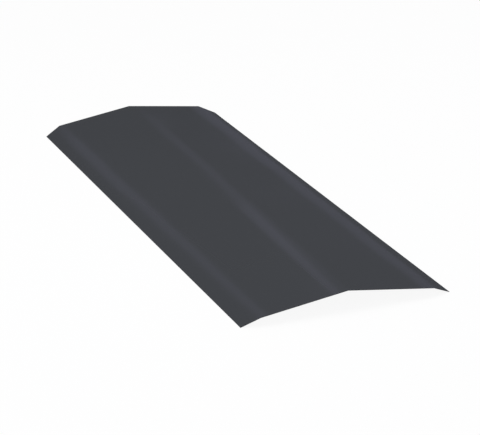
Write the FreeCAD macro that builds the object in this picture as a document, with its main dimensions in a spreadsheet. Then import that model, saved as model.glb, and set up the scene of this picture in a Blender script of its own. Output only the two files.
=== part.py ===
import FreeCAD, Part

import math
import os

import Sketcher

# Roof ridge cap: one strip of coated steel sheet, folded along its length.
# Two wings fall away from a blunt ridge, and the outer margin of each wing is
# folded a little further down as a drip lip. The bends are as tight as a
# folding machine makes them. The lips are clipped at a slant where they end,
# so that one cap laps over the next.
#
# Frame: X across the roof, Y along the ridge, Z up, in millimetres. The origin
# is under the middle of the ridge, on the level that the two lip edges rest on.

# Driving dimensions. The wing and lip widths are measured on the weather side,
# between the sharp lines where the flat faces would meet if no bend were
# rounded: twice their sum is the 312.5 mm strip that the cap is folded from.
# The radii are on the inner side of each bend. The pitches are degrees below
# the level, and the clip is degrees off a square cut, seen from above.
SIZES = {
    "cap_length": 1000.0,
    "wing_width": 126.75,
    "lip_width": 29.5,
    "sheet_thickness": 0.5,
    "wing_pitch": 8.0,
    "lip_pitch": 26.0,
    "ridge_radius": 3.0,
    "fold_radius": 3.0,
    "lip_clip": 19.0,
}

doc = FreeCAD.newDocument("roof_ridge_cap")

sizes = doc.addObject("Spreadsheet::Sheet", "sizes")
for row, (name, value) in enumerate(SIZES.items(), start=1):
    sizes.set("A%d" % row, name)
    sizes.set("B%d" % row, str(value))
    sizes.setAlias("B%d" % row, name)
doc.recompute()

# How a sketch's rules number the parts of a shape, and then its own two axes.
START, END, CENTRE = range(1, 4)
LEVEL_AXIS, MIDDLE_AXIS = range(-1, -3, -1)

WING_PITCH = math.radians(SIZES["wing_pitch"])
LIP_PITCH = math.radians(SIZES["lip_pitch"])
LIP_CLIP = math.radians(SIZES["lip_clip"])


class Drawing:
    """A sketch that its shapes, rules and dimensions are added to."""

    def __init__(self, sketch):
        self.sketch = sketch

    def add(self, shape, for_reference=False):
        return self.sketch.addGeometry(shape, for_reference)

    def line(self, start, end):
        return self.add(Part.LineSegment(start, end))

    def rule(self, kind, *references):
        self.sketch.addConstraint(Sketcher.Constraint(kind, *references))

    def dimension(self, name, kind, *references, value, formula):
        """A named dimension, drawn at a value and bound to a formula."""
        index = self.sketch.addConstraint(Sketcher.Constraint(kind, *references, value))
        self.sketch.renameConstraint(index, name)
        self.sketch.setExpression("Constraints." + name, formula)

    def size(self, name, kind, *references):
        """A dimension that is one of the driving ones."""
        self.dimension(name, kind, *references, value=SIZES[name], formula="sizes." + name)

    def fall(self, name, line):
        """The angle by which a line falls, as one of the driving dimensions."""
        self.dimension(name, "Angle", line, value=-math.radians(SIZES[name]),
                       formula="-sizes.%s * 1 deg" % name)


def downhill(pitch):
    """Unit direction across the roof and down a face of this pitch."""
    return FreeCAD.Vector(math.cos(pitch), -math.sin(pitch), 0)


def outward(pitch):
    """Unit direction square to a face of this pitch, on its weather side."""
    return FreeCAD.Vector(math.sin(pitch), math.cos(pitch), 0)


def bend_arc(centre, radius, upper_pitch, lower_pitch):
    """Arc over a bend. It starts at its lower, outer end and ends uphill."""
    circle = Part.Circle(centre, FreeCAD.Vector(0, 0, 1), radius)
    return Part.ArcOfCircle(circle, math.pi / 2 - lower_pitch, math.pi / 2 - upper_pitch)


def draw_half_section(drawing):
    """Closed outline of the sheet, from the middle plane to one lip edge."""
    thickness = SIZES["sheet_thickness"]

    # The sharp lines on the weather side, with the foot of the lip at nought.
    ridge_height = (SIZES["wing_width"] * math.sin(WING_PITCH)
                    + SIZES["lip_width"] * math.sin(LIP_PITCH)
                    + thickness * math.cos(LIP_PITCH))
    ridge_line = FreeCAD.Vector(0, ridge_height, 0)
    fold_line = ridge_line + downhill(WING_PITCH) * SIZES["wing_width"]
    lip_edge = fold_line + downhill(LIP_PITCH) * SIZES["lip_width"]
    lip_foot = lip_edge - outward(LIP_PITCH) * thickness

    # Each bend has one centre, which both skins share.
    ridge_outer = SIZES["ridge_radius"] + thickness
    ridge_centre = ridge_line - FreeCAD.Vector(0, ridge_outer / math.cos(WING_PITCH), 0)
    fold_outer = SIZES["fold_radius"] + thickness
    fold_setback = fold_outer * math.tan((LIP_PITCH - WING_PITCH) / 2)
    fold_start = fold_line - downhill(WING_PITCH) * fold_setback
    fold_centre = fold_start - outward(WING_PITCH) * fold_outer

    def draw_skin(ridge_radius, fold_radius, lip_end):
        """Ridge bend, wing, fold bend and lip, each running smoothly on."""
        ridge_bend = bend_arc(ridge_centre, ridge_radius, 0, WING_PITCH)
        fold_bend = bend_arc(fold_centre, fold_radius, WING_PITCH, LIP_PITCH)
        ridge_arc = drawing.add(ridge_bend)
        wing = drawing.line(ridge_bend.StartPoint, fold_bend.EndPoint)
        fold_arc = drawing.add(fold_bend)
        lip = drawing.line(fold_bend.StartPoint, lip_end)
        drawing.rule("Tangent", ridge_arc, START, wing, START)
        drawing.rule("Tangent", wing, END, fold_arc, END)
        drawing.rule("Tangent", fold_arc, START, lip, START)
        return ridge_arc, wing, fold_arc, lip

    top_ridge, top_wing, top_fold, top_lip = draw_skin(ridge_outer, fold_outer, lip_edge)
    low_ridge, low_wing, low_fold, low_lip = draw_skin(
        SIZES["ridge_radius"], SIZES["fold_radius"], lip_foot)

    # The two skins are the sheet's thickness apart all the way.
    drawing.rule("Coincident", low_ridge, CENTRE, top_ridge, CENTRE)
    drawing.rule("Coincident", low_fold, CENTRE, top_fold, CENTRE)
    drawing.rule("Parallel", low_wing, top_wing)
    drawing.rule("Parallel", low_lip, top_lip)

    # The half is closed on the middle plane, and its bend is centred there.
    crown_low = ridge_centre + FreeCAD.Vector(0, SIZES["ridge_radius"], 0)
    crown_top = ridge_centre + FreeCAD.Vector(0, ridge_outer, 0)
    middle_cut = drawing.line(crown_low, crown_top)
    drawing.rule("Coincident", middle_cut, START, low_ridge, END)
    drawing.rule("Coincident", middle_cut, END, top_ridge, END)
    drawing.rule("PointOnObject", middle_cut, START, MIDDLE_AXIS)
    drawing.rule("PointOnObject", middle_cut, END, MIDDLE_AXIS)
    drawing.rule("PointOnObject", top_ridge, CENTRE, MIDDLE_AXIS)

    # The lip is cut square to the sheet, and its lower corner is on the level.
    edge_cut = drawing.line(lip_edge, lip_foot)
    drawing.rule("Coincident", edge_cut, START, top_lip, END)
    drawing.rule("Coincident", edge_cut, END, low_lip, END)
    drawing.rule("Perpendicular", edge_cut, top_lip)
    drawing.rule("PointOnObject", edge_cut, END, LEVEL_AXIS)

    # The sharp lines that the two widths are measured between.
    ridge_point = drawing.add(Part.Point(ridge_line), for_reference=True)
    fold_point = drawing.add(Part.Point(fold_line), for_reference=True)
    drawing.rule("PointOnObject", ridge_point, START, MIDDLE_AXIS)
    drawing.rule("PointOnObject", ridge_point, START, top_wing)
    drawing.rule("PointOnObject", fold_point, START, top_wing)
    drawing.rule("PointOnObject", fold_point, START, top_lip)

    drawing.size("wing_width", "Distance", ridge_point, START, fold_point, START)
    drawing.size("lip_width", "Distance", fold_point, START, top_lip, END)
    drawing.size("sheet_thickness", "Distance", middle_cut, START, middle_cut, END)
    drawing.size("ridge_radius", "Radius", low_ridge)
    drawing.size("fold_radius", "Radius", low_fold)
    drawing.fall("wing_pitch", top_wing)
    drawing.fall("lip_pitch", top_lip)


def draw_lip_clips(drawing):
    """Plan of what is clipped off both ends of one lip.

    Each clip starts at the fold line on the cap's end and slants in from
    there. It is as wide as the lip would be if it lay level, and so it
    reaches past the edge of the lip, which slopes.
    """
    fold_line = SIZES["wing_width"] * math.cos(WING_PITCH)
    width = SIZES["lip_width"]
    end = SIZES["cap_length"] / 2
    corners = [
        FreeCAD.Vector(fold_line, end, 0),
        FreeCAD.Vector(fold_line + width, end - width * math.tan(LIP_CLIP), 0),
        FreeCAD.Vector(fold_line + width, end + width, 0),
        FreeCAD.Vector(fold_line, end + width, 0),
    ]

    def draw_loop(points):
        lines = [drawing.line(point, following)
                 for point, following in zip(points, points[1:] + points[:1])]
        for line, following in zip(lines, lines[1:] + lines[:1]):
            drawing.rule("Coincident", line, END, following, START)
        return lines

    far_lines = draw_loop(corners)
    near_lines = draw_loop([FreeCAD.Vector(point.x, -point.y, 0) for point in corners])
    for far_line, near_line in zip(far_lines, near_lines):
        drawing.rule("Symmetric", far_line, START, near_line, START, LEVEL_AXIS)

    slant, outer_side, back, inner_side = far_lines
    drawing.rule("Vertical", outer_side)
    drawing.rule("Horizontal", back)
    drawing.rule("Vertical", inner_side)
    drawing.dimension("fold_line", "DistanceX", LEVEL_AXIS, START, slant, START,
                      value=fold_line, formula="sizes.wing_width * cos(sizes.wing_pitch * 1 deg)")
    drawing.dimension("cap_end", "DistanceY", LEVEL_AXIS, START, slant, START,
                      value=end, formula="sizes.cap_length / 2")
    drawing.dimension("clip_width", "DistanceX", slant, START, slant, END,
                      value=width, formula="sizes.lip_width")
    drawing.dimension("clip_depth", "DistanceY", inner_side, END, inner_side, START,
                      value=width, formula="sizes.lip_width")
    drawing.fall("lip_clip", slant)


def new_sketch(body, name, plane_role, draw):
    """A sketch on one of the body's own origin planes, drawn and pinned down."""
    planes = {feature.Role: feature for feature in body.Origin.OriginFeatures}
    sketch = body.newObject("Sketcher::SketchObject", name)
    sketch.AttachmentSupport = [(planes[plane_role], "")]
    sketch.MapMode = "FlatFace"
    draw(Drawing(sketch))
    doc.recompute()
    if not sketch.FullyConstrained:
        raise RuntimeError("the sketch %s is not fully constrained" % name)
    return sketch


def make_ridge_cap():
    """The folded sheet: one side of it, clipped at both ends and mirrored."""
    body = doc.addObject("PartDesign::Body", "ridge_cap")
    body.Label = "ridge_cap"

    one_side = body.newObject("PartDesign::Pad", "one_side")
    one_side.Profile = new_sketch(body, "half_section", "XZ_Plane", draw_half_section)
    one_side.SideType = "Symmetric"
    one_side.setExpression("Length", "sizes.cap_length")
    doc.recompute()

    clipped = body.newObject("PartDesign::Pocket", "clipped_lip")
    clipped.Profile = new_sketch(body, "lip_clips", "XY_Plane", draw_lip_clips)
    clipped.SideType = "Symmetric"
    clipped.Type = "ThroughAll"
    doc.recompute()
    if clipped.Shape.Volume >= one_side.Shape.Volume:
        raise RuntimeError("the clips took nothing off the lip")

    both_sides = body.newObject("PartDesign::Mirrored", "both_sides")
    both_sides.Originals = [one_side, clipped]
    middle_plane = [plane for plane in body.Origin.OriginFeatures if plane.Role == "YZ_Plane"][0]
    both_sides.MirrorPlane = (middle_plane, [""])
    both_sides.Refine = True
    body.Tip = both_sides
    doc.recompute()
    return body


ridge_cap = make_ridge_cap()

# A recompute can leave a step failed without a word, so each one is looked at.
for step in doc.Objects:
    if "Invalid" in step.State or "Error" in step.State:
        raise RuntimeError("%s was not made" % step.Label)
cap_shape = ridge_cap.Shape
if cap_shape.isNull() or not cap_shape.isValid() or len(cap_shape.Solids) != 1:
    raise RuntimeError("the ridge cap is not one sound solid")

box = cap_shape.BoundBox
print("ridge_cap: %.1f across, %.1f long, %.2f high" % (box.XLength, box.YLength, box.ZLength))
print("sheet in it: %.0f cm2" % (cap_shape.Volume / SIZES["sheet_thickness"] / 100))

os.makedirs("parts", exist_ok=True)
cap_shape.exportStep("parts/%s.step" % ridge_cap.Label)
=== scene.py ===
# %% [markdown]
# A roof ridge cap, dressed.
#
# On a roof this is the strip of coated steel that covers the gap where two slopes meet. It is one sheet
# with three folds along it: a slight one over the ridge, and a steeper one down each side, where the
# sheet turns into a drip lip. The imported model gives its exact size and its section. What it cannot give
# is the look: a satin paint that takes a soft streak of light along every fold, a pale lacquer
# underneath, and dull cut edges half a millimetre thick.
#
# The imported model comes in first, because everything else is worked out from it.

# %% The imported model
import math

import bpy
from mathutils import Matrix, Vector


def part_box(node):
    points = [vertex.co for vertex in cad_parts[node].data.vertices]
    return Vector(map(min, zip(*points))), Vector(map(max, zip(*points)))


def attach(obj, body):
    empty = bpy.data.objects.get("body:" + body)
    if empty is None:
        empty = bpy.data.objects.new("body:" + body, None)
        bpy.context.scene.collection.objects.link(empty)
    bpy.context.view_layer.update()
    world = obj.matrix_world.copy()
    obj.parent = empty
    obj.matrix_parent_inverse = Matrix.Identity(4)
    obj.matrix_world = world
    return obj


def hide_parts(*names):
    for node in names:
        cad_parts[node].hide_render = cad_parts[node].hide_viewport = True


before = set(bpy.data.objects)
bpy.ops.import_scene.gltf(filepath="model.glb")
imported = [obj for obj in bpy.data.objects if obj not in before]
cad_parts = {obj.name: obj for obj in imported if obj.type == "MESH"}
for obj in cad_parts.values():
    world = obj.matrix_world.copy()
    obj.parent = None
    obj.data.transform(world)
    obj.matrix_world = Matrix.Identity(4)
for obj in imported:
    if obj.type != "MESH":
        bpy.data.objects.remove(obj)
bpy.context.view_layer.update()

cap_low, cap_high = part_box("ridge_cap")
MM = 0.001
cap_size = (cap_high - cap_low) / MM
print("packed cap: %.1f mm across, %.1f long, %.2f high" % tuple(cap_size))

# %% [markdown]
# A few small tools.
#
# Every material and every shape below is a tree of nodes. Adding a node, setting it up and linking it are
# always the same three steps, so one function does them. Another turns a colour as a designer writes it,
# a hex value on a screen, into the linear light that a shader counts in.

# %% A node and a colour
def fill(tree, node, inputs):
    """Fills a node's inputs with values, or links them from nodes and sockets."""
    for place, value in inputs.items():
        if isinstance(value, bpy.types.Node):
            value = value.outputs[0]
        if isinstance(value, bpy.types.NodeSocket):
            tree.links.new(value, node.inputs[place])
        else:
            node.inputs[place].default_value = value


def add_node(tree, kind, inputs=None, **settings):
    """Adds a node, sets it up and fills its inputs."""
    node = tree.nodes.new(kind)
    for name, value in settings.items():
        setattr(node, name, value)
    fill(tree, node, inputs or {})
    return node


def linear(hex_colour):
    """The linear colour of an sRGB hex value such as "404245"."""
    shares = [int(hex_colour[at:at + 2], 16) / 255 for at in (0, 2, 4)]
    light = [share / 12.92 if share <= 0.04045 else ((share + 0.055) / 1.055) ** 2.4 for share in shares]
    return (*light, 1.0)


def new_material(name):
    """A material with an empty tree, and the output that its shader goes to."""
    material = bpy.data.materials.new(name)
    material.use_nodes = True
    material.node_tree.nodes.clear()
    output = add_node(material.node_tree, "ShaderNodeOutputMaterial")
    return material, material.node_tree, output


print("dark grey in linear light:", [round(channel, 4) for channel in linear("404245")[:3]])

# %% [markdown]
# The paint on the weather side.
#
# The real finish is a polyester coil coating, rolled on and baked before the sheet is cut and folded, so
# it runs over the bends without a break. It is a dark grey with a little blue in it, smooth and satin.
#
# It is never quite flat, in three ways. The wet film pulls itself into a very fine orange peel before it
# sets. Its gloss drifts a little from place to place. And the thin sheet under it swells and dips by
# some tenths of a millimetre, which shows only where a streak of light wanders on its fold. An image
# could give all that, but it would need unwrapping, and it would blur close by. Noise patterns in the
# sheet's own millimetres do the same and never repeat. The peel is drawn 4 mm wide instead of about 1 mm,
# because a picture of a metre of sheet has no dots fine enough for the real one.

# %% Satin polyester coil coating
PAINT_COLOURS = ("404245", "414346")
PAINT_ROUGHNESS = (0.14, 0.16)
RESIN_IOR = 1.5
PEEL_WIDTH = 4 * MM
PEEL_HEIGHT = 0.012 * MM
PEEL_DETAIL = 1.0
DRIFT_WIDTH = 90 * MM
DRIFT_DETAIL = 3.0
SWELL_WIDTH = 160 * MM
SWELL_HEIGHT = 1.6 * MM
SWELL_DETAIL = 0.0


def between(tree, share, colours, roughness):
    """A colour and a roughness that a pattern shifts from the first of each pair to the second."""
    colour = add_node(tree, "ShaderNodeMix", {
        "Factor": share, "A": linear(colours[0]), "B": linear(colours[1])}, data_type="RGBA")
    gloss = add_node(tree, "ShaderNodeMapRange", {
        "Value": share, "To Min": roughness[0], "To Max": roughness[1]})
    return colour.outputs["Result"], gloss


def satin_polyester_coating():
    material, tree, output = new_material("satin_polyester_coating")
    place = add_node(tree, "ShaderNodeTexCoord").outputs["Object"]
    drift = add_node(tree, "ShaderNodeTexNoise", {
        "Vector": place, "Scale": 1 / DRIFT_WIDTH, "Detail": DRIFT_DETAIL})
    colour, gloss = between(tree, drift, PAINT_COLOURS, PAINT_ROUGHNESS)
    swell = add_node(tree, "ShaderNodeTexNoise", {
        "Vector": place, "Scale": 1 / SWELL_WIDTH, "Detail": SWELL_DETAIL})
    swollen = add_node(tree, "ShaderNodeBump", {"Height": swell, "Distance": SWELL_HEIGHT, "Strength": 1.0})
    peel = add_node(tree, "ShaderNodeTexNoise", {
        "Vector": place, "Scale": 1 / PEEL_WIDTH, "Detail": PEEL_DETAIL})
    skin = add_node(tree, "ShaderNodeBump", {
        "Height": peel, "Distance": PEEL_HEIGHT, "Strength": 1.0, "Normal": swollen})
    shader = add_node(tree, "ShaderNodeBsdfPrincipled", {
        "Base Color": colour, "Roughness": gloss, "IOR": RESIN_IOR, "Normal": skin})
    tree.links.new(shader.outputs["BSDF"], output.inputs["Surface"])
    return material


paint = satin_polyester_coating()
print("paint:", paint.name, "with peel", round(PEEL_WIDTH / MM, 1), "mm wide")

# %% [markdown]
# The lacquer on the underside.
#
# Nobody looks at the underside of a ridge cap, so the mill rolls on only a thin backing lacquer there,
# usually a pale grey. It is flatter than the top paint, and thin enough for the roller's fine lines to
# show along the strip. Noise that is squeezed across the cap and drawn out along it gives those lines.

# %% Rolled backing lacquer
LACQUER_COLOURS = ("A3A6A4", "B9BBB8")
LACQUER_ROUGHNESS = (0.48, 0.60)
LINE_WIDTH = 5 * MM
LINE_LENGTH = 400 * MM
LINE_DETAIL = 4.0


def rolled_backing_lacquer():
    material, tree, output = new_material("rolled_backing_lacquer")
    place = add_node(tree, "ShaderNodeTexCoord").outputs["Object"]
    drawn_out = add_node(tree, "ShaderNodeMapping", {
        "Vector": place, "Scale": (1 / LINE_WIDTH, 1 / LINE_LENGTH, 1 / LINE_WIDTH)})
    lines = add_node(tree, "ShaderNodeTexNoise", {
        "Vector": drawn_out, "Scale": 1.0, "Detail": LINE_DETAIL})
    colour, gloss = between(tree, lines, LACQUER_COLOURS, LACQUER_ROUGHNESS)
    shader = add_node(tree, "ShaderNodeBsdfPrincipled", {
        "Base Color": colour, "Roughness": gloss, "IOR": RESIN_IOR})
    tree.links.new(shader.outputs["BSDF"], output.inputs["Surface"])
    return material


backing = rolled_backing_lacquer()
print("backing:", backing.name)

# %% [markdown]
# The cut edges.
#
# The strip is slit to width and sheared to length after it is painted, so its edges are bare: a skin of
# zinc, steel, and zinc again. At half a millimetre nobody sees the layers apart, only one dull metal
# line. The shear leaves faint marks across it, so a noise varies its shade and its gloss.

# %% Sheared galvanised edge
EDGE_COLOURS = ("6E7072", "8C8E90")
EDGE_ROUGHNESS = (0.42, 0.58)
MARK_WIDTH = 1.5 * MM
MARK_DETAIL = 2.0


def sheared_galvanised_edge():
    material, tree, output = new_material("sheared_galvanised_edge")
    place = add_node(tree, "ShaderNodeTexCoord").outputs["Object"]
    marks = add_node(tree, "ShaderNodeTexNoise", {
        "Vector": place, "Scale": 1 / MARK_WIDTH, "Detail": MARK_DETAIL})
    colour, gloss = between(tree, marks, EDGE_COLOURS, EDGE_ROUGHNESS)
    shader = add_node(tree, "ShaderNodeBsdfPrincipled", {
        "Base Color": colour, "Roughness": gloss, "Metallic": 1.0})
    tree.links.new(shader.outputs["BSDF"], output.inputs["Surface"])
    return material


edge_metal = sheared_galvanised_edge()
print("edge:", edge_metal.name)

# %% [markdown]
# The folded sheet.
#
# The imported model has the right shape, but its faces are dead flat, and light on them has hard borders.
# On the real sheet a fold is crisp in outline, and yet the paint shows a soft streak along it, up to
# 30 mm wide, because the sheet starts to turn a little before the fold and ends a little after it. That
# is too slight to see in the outline, but a mirror shows it. So the sheet is folded again here from the
# same sizes, with a line of points on each side of every fold. Smooth shading lets the light turn from
# one line to the next, and the fold between them stays crisp.
#
# One could model it by hand with edge loops. But a sheet-metal section follows a rule, and a rule is what
# Geometry Nodes are for: draw the section, run it along the cap, clip the lips, and give the skin its
# thickness. Change one size and the whole cap follows.
#
# The widths are the real ones, along the flat strip. A spread is how far from its fold the light starts
# to turn. A real fold is rounded to 3.5 mm on the outside, too little to see, but that takes a hair off
# the ridge's height, which the crown drop gives.

# %% The sizes of the sheet
WING_PITCH = math.radians(8.0)
BEND_RADIUS = 3.5 * MM
SIZES = {
    "Cap Length": 1000.0 * MM,
    "Wing Width": 126.75 * MM,
    "Lip Width": 29.5 * MM,
    "Sheet Thickness": 0.5 * MM,
    "Crown Drop": BEND_RADIUS * (1 / math.cos(WING_PITCH) - 1),
    "Ridge Spread": 25.0 * MM,
    "Fold Spread": 24.0 * MM,
    "Wing Pitch": WING_PITCH,
    "Lip Pitch": math.radians(26.0),
    "Lip Clip": math.radians(19.0),
}
STEPS = {"Rows": 100}
print("strip before folding: %.1f mm wide" % (2 * (SIZES["Wing Width"] + SIZES["Lip Width"]) / MM))
print("crown drop: %.3f mm" % (SIZES["Crown Drop"] / MM))

# %% [markdown]
# The section.
#
# Eleven points make the section. Numbered from -5 to 5, a point's number says all there is to know. Its
# sign is the side of the roof, and its size picks a place on the flat strip: 0 is the ridge, 1 the end of
# its spread, 2 the start of the fold's, 3 the fold, 4 the end of its spread, and 5 the lip's edge. The
# part of that distance that lies on the wing runs down at the wing's pitch, and the rest at the lip's.
# Only the ridge's number is below one, which is how the crown drop finds it.

# %% Draw the section
SIDE_POINTS = 5
BELOW_ONE = 0.5


def draw_section(tree, sizes):
    """The section as a curve in the XY plane: X across the roof and Y down, as a sweep along Y takes it."""
    points = add_node(tree, "GeometryNodeMeshLine", {
        "Count": 2 * SIDE_POINTS + 1, "Offset": (1.0, 0.0, 0.0)})
    index = add_node(tree, "GeometryNodeInputIndex")
    mark = add_node(tree, "ShaderNodeMath", {0: index, 1: SIDE_POINTS}, operation="SUBTRACT")
    side = add_node(tree, "ShaderNodeMath", {0: mark}, operation="SIGN")
    number = add_node(tree, "ShaderNodeMath", {0: mark}, operation="ABSOLUTE")

    fold = sizes["Wing Width"]
    before_fold = add_node(tree, "ShaderNodeMath", {0: fold, 1: sizes["Fold Spread"]}, operation="SUBTRACT")
    past_fold = add_node(tree, "ShaderNodeMath", {0: fold, 1: sizes["Fold Spread"]}, operation="ADD")
    lip_edge = add_node(tree, "ShaderNodeMath", {0: fold, 1: sizes["Lip Width"]}, operation="ADD")
    places = (0.0, sizes["Ridge Spread"], before_fold, fold, past_fold, lip_edge)
    along_strip = add_node(tree, "GeometryNodeIndexSwitch", data_type="FLOAT")
    while len(along_strip.index_switch_items) < len(places):
        along_strip.index_switch_items.new()
    fill(tree, along_strip, {"Index": number, **{str(at): reach for at, reach in enumerate(places)}})

    on_wing = add_node(tree, "ShaderNodeMath", {0: along_strip, 1: fold}, operation="MINIMUM")
    on_lip = add_node(tree, "ShaderNodeMath", {0: along_strip, 1: on_wing}, operation="SUBTRACT")
    runs = []
    for run, pitch in ((on_wing, "Wing Pitch"), (on_lip, "Lip Pitch")):
        downhill = add_node(tree, "ShaderNodeVectorRotate", {
            "Vector": (1.0, 0.0, 0.0), "Angle": sizes[pitch]}, rotation_type="Z_AXIS")
        runs.append(add_node(tree, "ShaderNodeVectorMath", {0: downhill, "Scale": run}, operation="SCALE"))
    from_ridge = add_node(tree, "ShaderNodeVectorMath", {0: runs[0], 1: runs[1]}, operation="ADD")
    to_side = add_node(tree, "ShaderNodeCombineXYZ", {"X": side, "Y": 1.0})
    place = add_node(tree, "ShaderNodeVectorMath", {0: from_ridge, 1: to_side}, operation="MULTIPLY")

    at_ridge = add_node(tree, "FunctionNodeCompare", {0: number, 1: BELOW_ONE}, operation="LESS_THAN")
    drop = add_node(tree, "ShaderNodeMath", {0: at_ridge, 1: sizes["Crown Drop"]}, operation="MULTIPLY")
    lower = add_node(tree, "ShaderNodeCombineXYZ", {"Y": drop})
    placed = add_node(tree, "GeometryNodeSetPosition", {
        "Geometry": points, "Position": place, "Offset": lower})
    return add_node(tree, "GeometryNodeMeshToCurve", {"Mesh": placed})


print("section: the ridge, and %d points on each side of it" % SIDE_POINTS)

# %% [markdown]
# From a line to a sheet.
#
# The section is swept along the cap. Then each lip is clipped at its ends, as a roofer does it with snips
# so that one cap laps over the next: beyond the fold line, a point moves in from the cap's end by its
# distance from that line times the tangent of the clip.

# %% Sweep the section and clip the lips
def sweep_sheet(tree, sizes, section):
    """The weather skin: the section run along Y, with the lips' ends slanted."""
    half_length = add_node(tree, "ShaderNodeMath", {0: sizes["Cap Length"], 1: 0.5}, operation="MULTIPLY")
    minus_half = add_node(tree, "ShaderNodeMath", {0: half_length, 1: -1.0}, operation="MULTIPLY")
    near_end = add_node(tree, "ShaderNodeCombineXYZ", {"Y": minus_half})
    far_end = add_node(tree, "ShaderNodeCombineXYZ", {"Y": half_length})
    ridge_line = add_node(tree, "GeometryNodeCurvePrimitiveLine", {"Start": near_end, "End": far_end})
    rows = add_node(tree, "GeometryNodeResampleCurve", {"Curve": ridge_line, "Count": sizes["Rows"]})
    skin = add_node(tree, "GeometryNodeCurveToMesh", {"Curve": rows, "Profile Curve": section})

    place = add_node(tree, "ShaderNodeSeparateXYZ", {0: add_node(tree, "GeometryNodeInputPosition")})
    pitch_cosine = add_node(tree, "ShaderNodeMath", {0: sizes["Wing Pitch"]}, operation="COSINE")
    fold_line = add_node(tree, "ShaderNodeMath", {
        0: sizes["Wing Width"], 1: pitch_cosine}, operation="MULTIPLY")
    across = add_node(tree, "ShaderNodeMath", {0: place.outputs["X"]}, operation="ABSOLUTE")
    beyond_fold = add_node(tree, "ShaderNodeMath", {0: across, 1: fold_line}, operation="SUBTRACT")
    on_lip = add_node(tree, "ShaderNodeMath", {0: beyond_fold, 1: 0.0}, operation="MAXIMUM")
    slant = add_node(tree, "ShaderNodeMath", {0: sizes["Lip Clip"]}, operation="TANGENT")
    set_back = add_node(tree, "ShaderNodeMath", {0: on_lip, 1: slant}, operation="MULTIPLY")
    toward_end = add_node(tree, "ShaderNodeMath", {0: place.outputs["Y"], 1: minus_half}, operation="DIVIDE")
    along = add_node(tree, "ShaderNodeMath", {0: set_back, 1: toward_end}, operation="MULTIPLY")
    shift = add_node(tree, "ShaderNodeCombineXYZ", {"Y": along})
    return add_node(tree, "GeometryNodeSetPosition", {"Geometry": skin, "Offset": shift})


print("rows along the cap:", STEPS["Rows"])

# %% [markdown]
# From a skin to a solid sheet.
#
# A copy of the skin is turned over and pushed down by the thickness of the steel, which also makes the
# four walls of the cut edge. Joined to the weather skin and merged along the rim, it is a closed sheet.
# The extrusion knows which faces it moved and which it made, so the underside and the edge get their own
# finish with no picking by hand. Faces are shaded smooth, except over the rim, where the sheet ends.

# %% Thicken, shade and finish the sheet
RIM_ANGLE = math.radians(40)
MERGE_REACH = 0.01 * MM


def thicken_sheet(tree, sizes, skin):
    """The closed sheet, standing on the floor, with a finish on each side."""
    turned = add_node(tree, "GeometryNodeFlipFaces", {"Mesh": skin})
    pushed = add_node(tree, "GeometryNodeExtrudeMesh", {
        "Mesh": turned, "Offset Scale": sizes["Sheet Thickness"], "Individual": False})
    both = add_node(tree, "GeometryNodeJoinGeometry", {"Geometry": skin})
    tree.links.new(pushed.outputs["Mesh"], both.inputs["Geometry"])
    closed = add_node(tree, "GeometryNodeMergeByDistance", {"Geometry": both, "Distance": MERGE_REACH})

    smooth = add_node(tree, "GeometryNodeSetShadeSmooth", {"Geometry": closed})
    bend = add_node(tree, "GeometryNodeInputMeshEdgeAngle")
    rim = add_node(tree, "FunctionNodeCompare", {0: bend, 1: RIM_ANGLE}, operation="GREATER_THAN")
    shaded = add_node(tree, "GeometryNodeSetShadeSmooth", {
        "Geometry": smooth, "Selection": rim, "Shade Smooth": False}, domain="EDGE")

    box = add_node(tree, "GeometryNodeBoundBox", {"Geometry": shaded})
    foot = add_node(tree, "ShaderNodeSeparateXYZ", {0: box.outputs["Min"]})
    lift = add_node(tree, "ShaderNodeMath", {0: foot.outputs["Z"], 1: -1.0}, operation="MULTIPLY")
    rise = add_node(tree, "ShaderNodeCombineXYZ", {"Z": lift})
    standing = add_node(tree, "GeometryNodeTransform", {"Geometry": shaded, "Translation": rise})

    whole = add_node(tree, "GeometryNodeRealizeInstances", {"Geometry": standing})
    finished = add_node(tree, "GeometryNodeSetMaterial", {"Geometry": whole, "Material": paint})
    for faces, finish in (("Top", backing), ("Side", edge_metal)):
        finished = add_node(tree, "GeometryNodeSetMaterial", {
            "Geometry": finished, "Selection": pushed.outputs[faces], "Material": finish})
    return finished


print("finishes on the sheet:", paint.name, backing.name, edge_metal.name)

# %% [markdown]
# Running the recipe.
#
# The tree takes its sizes from named inputs. They are set on the modifier by each socket's own
# identifier, and then Blender works the recipe out. The result is kept as a plain mesh and the modifier
# goes, because the finished piece has to be plain mesh. The recipe leaves an empty first material slot,
# which goes too.

# %% Fold the sheet
def sheet_recipe():
    """The node tree that folds a ridge cap, and the identifiers of its inputs."""
    tree = bpy.data.node_groups.new("folded_ridge_sheet", "GeometryNodeTree")
    identifiers = {}
    for names, kind in ((SIZES, "NodeSocketFloat"), (STEPS, "NodeSocketInt")):
        for name in names:
            identifiers[name] = tree.interface.new_socket(name, in_out="INPUT", socket_type=kind).identifier
    tree.interface.new_socket("Sheet", in_out="OUTPUT", socket_type="NodeSocketGeometry")
    sizes = add_node(tree, "NodeGroupInput").outputs
    section = draw_section(tree, sizes)
    skin = sweep_sheet(tree, sizes, section)
    sheet = thicken_sheet(tree, sizes, skin)
    add_node(tree, "NodeGroupOutput", {"Sheet": sheet})
    return tree, identifiers


def fold_sheet():
    """The finished sheet as an object with a plain mesh."""
    tree, identifiers = sheet_recipe()
    piece = bpy.data.objects.new("folded_sheet", bpy.data.meshes.new("folded_sheet"))
    bpy.context.scene.collection.objects.link(piece)
    modifier = piece.modifiers.new("fold", "NODES")
    modifier.node_group = tree
    for name, value in {**SIZES, **STEPS}.items():
        modifier[identifiers[name]] = value
    shown = piece.evaluated_get(bpy.context.evaluated_depsgraph_get())
    piece.data = bpy.data.meshes.new_from_object(shown)
    piece.data.materials.pop(index=0)
    piece.modifiers.clear()
    return piece


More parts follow.
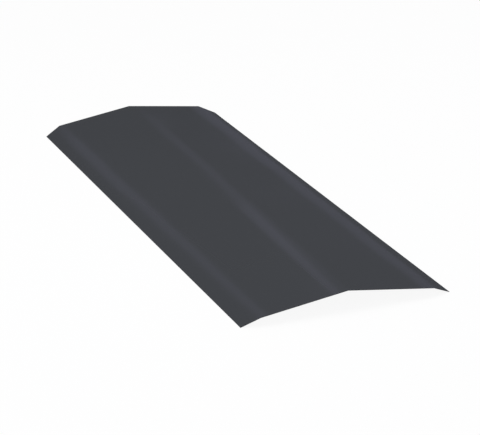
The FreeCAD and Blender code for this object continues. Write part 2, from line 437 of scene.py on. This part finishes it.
sheet = fold_sheet()
corners = [vertex.co for vertex in sheet.data.vertices]
for axis, name in enumerate("XYZ"):
    low = min(corner[axis] for corner in corners) / MM
    high = max(corner[axis] for corner in corners) / MM
    print("sheet %s: %.3f to %.3f mm, packed %.3f to %.3f" % (
        name, low, high, cap_low[axis] / MM, cap_high[axis] / MM))
for slot, finish in enumerate(sheet.data.materials):
    print("faces in %s: %d" % (finish.name, sum(face.material_index == slot for face in sheet.data.polygons)))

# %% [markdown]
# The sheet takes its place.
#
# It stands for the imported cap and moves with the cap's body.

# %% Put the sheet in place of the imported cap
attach(sheet, "root")
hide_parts("ridge_cap")

# %% [markdown]
# The stage.
#
# The cap is shown on plain white, as in a shop's picture. Light strong enough to burn a floor to white
# would burn the paint too, so the white is only shown: it glows to the camera and lights nothing.
#
# Mirrored rays are a harder case. The camera looks along the cap at a low angle, where any paint
# mirrors what stands behind it. With white round it the dark sheet would turn pale, its outer lip most
# of all. In the photograph the faces stay dark and even, and only the folds catch a streak. So a
# mirrored ray finds the stage dim, floor and room alike, as in a studio hung with black cloth: about as
# light as the paint itself, which is what keeps a face the same from any side. All other rays find a
# plain room.

# %% What each kind of ray finds
DIM_ROOM_LEVEL = 0.067
DIM_FLOOR_LEVEL = 0.07
DIM_TINT = "EDF1FF"


def show_stage(tree, lit, dim, white, white_share):
    """White to the camera, at a share, dim to a mirrored ray, and lit to the others."""
    path = add_node(tree, "ShaderNodeLightPath")
    mirrored = add_node(tree, "ShaderNodeMixShader", {"Fac": path.outputs["Is Glossy Ray"], 1: lit, 2: dim})
    straight = add_node(tree, "ShaderNodeMath", {
        0: path.outputs["Is Camera Ray"], 1: path.outputs["Is Transmission Ray"]}, operation="MAXIMUM")
    share = add_node(tree, "ShaderNodeMath", {0: straight, 1: white_share}, operation="MULTIPLY")
    return add_node(tree, "ShaderNodeMixShader", {"Fac": share, 1: mirrored, 2: white})


print("a mirrored ray finds %.3f of white in the room" % DIM_ROOM_LEVEL)
print("and %.3f of it on the floor" % DIM_FLOOR_LEVEL)

# %% [markdown]
# The floor.
#
# One large pale plane. More than nine tenths of what the camera sees of it is plain white. The rest is
# the lit floor, which keeps the cap's shadow. It lies a hair under the cap, so that the two never share a
# face.

# %% A pale floor that keeps the shadow
FLOOR_COLOUR = "F2F2F2"
FLOOR_REACH = 20.0
FLOOR_GAP = 0.05 * MM
WHITE_SHARE = 0.92


def pale_floor():
    material, tree, output = new_material("pale_floor")
    lit = add_node(tree, "ShaderNodeBsdfDiffuse", {"Color": linear(FLOOR_COLOUR)})
    dim = add_node(tree, "ShaderNodeEmission", {"Color": linear(DIM_TINT), "Strength": DIM_FLOOR_LEVEL})
    white = add_node(tree, "ShaderNodeEmission", {"Strength": 1.0})
    shown = show_stage(tree, lit, dim, white, WHITE_SHARE)
    tree.links.new(shown.outputs["Shader"], output.inputs["Surface"])
    return material


floor_corners = [(x * FLOOR_REACH, y * FLOOR_REACH, -FLOOR_GAP)
                 for x, y in ((-1, -1), (1, -1), (1, 1), (-1, 1))]
floor_mesh = bpy.data.meshes.new("floor")
floor_mesh.from_pydata(floor_corners, [], [(0, 1, 2, 3)])
floor_mesh.materials.append(pale_floor())
floor = bpy.data.objects.new("floor", floor_mesh)
bpy.context.scene.collection.objects.link(floor)
print("floor: %.0f m across" % (2 * FLOOR_REACH))

# %% [markdown]
# The room.
#
# The same three faces, for the rays that miss the floor. Its plain light is nearly half of what falls on
# the cap: it comes from all sides, so no face goes black.

# %% A plain room
ROOM_LEVEL = 0.5


def room_light(tree):
    lit = add_node(tree, "ShaderNodeBackground", {"Color": linear("FFFFFF"), "Strength": ROOM_LEVEL})
    dim = add_node(tree, "ShaderNodeBackground", {"Color": linear(DIM_TINT), "Strength": DIM_ROOM_LEVEL})
    white = add_node(tree, "ShaderNodeBackground", {"Color": linear("FFFFFF"), "Strength": 1.0})
    add_node(tree, "ShaderNodeOutputWorld", {"Surface": show_stage(tree, lit, dim, white, 1.0)})


world = bpy.data.worlds.new("room")
bpy.context.scene.world = world
world.use_nodes = True
world.node_tree.nodes.clear()
room_light(world.node_tree)
print("room level:", ROOM_LEVEL)

# %% [markdown]
# The soft light overhead.
#
# A wide soft box over the cap gives as much light again as the room. The two add up to a level where a
# colour comes out as it was written. The box is hidden from mirrored rays, so it only shades.
#
# Blender asks for a lamp's power, and a larger lamp of the same power looks dimmer. So a lamp is made
# here from the brightness of its face, and its power follows from its size.

# %% A soft box overhead
OVERHEAD_ENDS = ((-0.35, -1.35, 2.6), (-0.35, 1.05, 2.6))
OVERHEAD_WIDTH = 2.4
OVERHEAD_LEVEL = 2.4


def area_lamp(name, ends, width, level, tint="FFFFFF"):
    """A rectangular lamp from one end to the other, facing the cap. Its face is level times white."""
    first, last = (Vector(end) for end in ends)
    middle = (first + last) / 2
    along = last - first
    data = bpy.data.lights.new(name, "AREA")
    data.shape = "RECTANGLE"
    data.size = width
    data.size_y = along.length
    data.energy = level * math.pi * width * along.length
    data.color = linear(tint)[:3]
    back = middle.normalized()
    across = along.cross(back).normalized()
    turn = Matrix((across, back.cross(across), back)).transposed().to_4x4()
    lamp = bpy.data.objects.new(name, data)
    lamp.matrix_world = Matrix.Translation(middle) @ turn
    lamp.visible_camera = False
    bpy.context.scene.collection.objects.link(lamp)
    return lamp


overhead = area_lamp("overhead", OVERHEAD_ENDS, OVERHEAD_WIDTH, OVERHEAD_LEVEL)
overhead.visible_glossy = False
print("overhead: %.1f W" % overhead.data.energy)

# %% [markdown]
# The strips behind the cap.
#
# The streaks on the folds come from four strip boxes behind the cap, one for each side's fold and two for
# the ridge. They are dim, and their only work is to be mirrored. At a fold the sheet turns through many
# angles, so somewhere there is always one that mirrors a strip to the camera, while the flat faces beside
# it mirror the dark in between. The strips lean, because the same spot on a strip has to be higher for
# the cap's near end than for its far end. Their light is faintly violet, as the streaks are.
#
# Each strip has its two ends in metres, its width and its level.

# %% Strip boxes
STRIP_TINT = "D8D6FF"
STRIPS = {
    "left_fold_strip": (((-0.07, 2.0, 0.65), (0.27, 2.0, 2.03)), 0.22, 0.122),
    "low_ridge_strip": (((0.57, 2.0, 0.46), (0.89, 2.0, 1.00)), 0.19, 0.056),
    "high_ridge_strip": (((0.66, 2.0, 0.86), (0.75, 2.0, 1.22)), 0.19, 0.149),
    "right_fold_strip": (((0.78, 2.0, 0.12), (1.66, 2.0, 0.43)), 0.38, 0.077),
}
for name, (ends, width, level) in STRIPS.items():
    area_lamp(name, ends, width, level, STRIP_TINT)
print("strips:", ", ".join(STRIPS))

# %% [markdown]
# Panels for the other sides.
#
# The strips only serve someone who stands where the photographer stood. Round the rest of the room stand
# ten tall dim panels, with dark gaps between them, so that from any side the folds find something to
# mirror and the faces beside them differ a little in shade. They add about a twentieth to the plain light.

# %% A ring of panels
PANEL_TURNS = range(60, 331, 30)
PANEL_REACH = 2.4
PANEL_FOOT = 0.05
PANEL_TOP = 2.2
PANEL_WIDTH = 0.8
PANEL_LEVEL = 0.20

for turn in PANEL_TURNS:
    across = math.sin(math.radians(turn)) * PANEL_REACH
    along = math.cos(math.radians(turn)) * PANEL_REACH
    ends = ((across, along, PANEL_FOOT), (across, along, PANEL_TOP))
    area_lamp("panel_%d" % turn, ends, PANEL_WIDTH, PANEL_LEVEL, STRIP_TINT)
print("panels:", len(PANEL_TURNS))

# %% [markdown]
# A strip under the ceiling.
#
# Seen from above, the faces mirror the ceiling instead. One long dim strip off to the side is mirrored by
# one wing and not by the other, so the ridge shows from there too. It is only mirrored: the diffuse part
# of the paint doesn't see it, so it adds no light to the cap's colour.

# %% A ceiling strip
CEILING_ENDS = ((0.95, -1.6, 2.6), (0.95, 1.6, 2.6))
CEILING_WIDTH = 0.9
CEILING_LEVEL = 0.45

ceiling_strip = area_lamp("ceiling_strip", CEILING_ENDS, CEILING_WIDTH, CEILING_LEVEL, STRIP_TINT)
ceiling_strip.visible_diffuse = False
print("ceiling strip: %.1f W" % ceiling_strip.data.energy)

# %% [markdown]
# The camera.
#
# The outline of the cap in the photograph fixes where the camera stood, and how long its lens was: the
# size of the cap is known, and its corners and edges should fall where the photograph has them. They do
# so to within a dot, apart from two of the far corners, which are a few dots off. The camera stood 3.5 m
# away and looked along the cap, a little from the left and from above.

# %% A camera where the photographer stood
AZIMUTH = math.radians(18.81)
ELEVATION = math.radians(18.79)
ROLL = math.radians(-2.67)
AIM = Vector((-13.4, -103.7, 15.0)) * MM
DISTANCE = 3510.9 * MM
LENS = 176.5
SENSOR_WIDTH = 36.0
CLIP_START = 0.1
CLIP_END = 100.0

camera_data = bpy.data.cameras.new("camera")
camera_data.sensor_fit = "HORIZONTAL"
camera_data.sensor_width = SENSOR_WIDTH
camera_data.lens = LENS
camera_data.clip_start = CLIP_START
camera_data.clip_end = CLIP_END
camera = bpy.data.objects.new("camera", camera_data)
look = (Matrix.Rotation(-AZIMUTH, 4, "Z") @ Matrix.Rotation(math.pi / 2 - ELEVATION, 4, "X")
        @ Matrix.Rotation(ROLL, 4, "Z"))
camera.matrix_world = Matrix.Translation(AIM) @ look @ Matrix.Translation((0, 0, DISTANCE))
bpy.context.scene.collection.objects.link(camera)
bpy.context.scene.camera = camera
print("camera at", [round(value, 4) for value in camera.matrix_world.translation])

# %% [markdown]
# The last settings.
#
# The Standard view shows a colour as it was written.

# %% View
bpy.context.scene.view_settings.view_transform = "Standard"
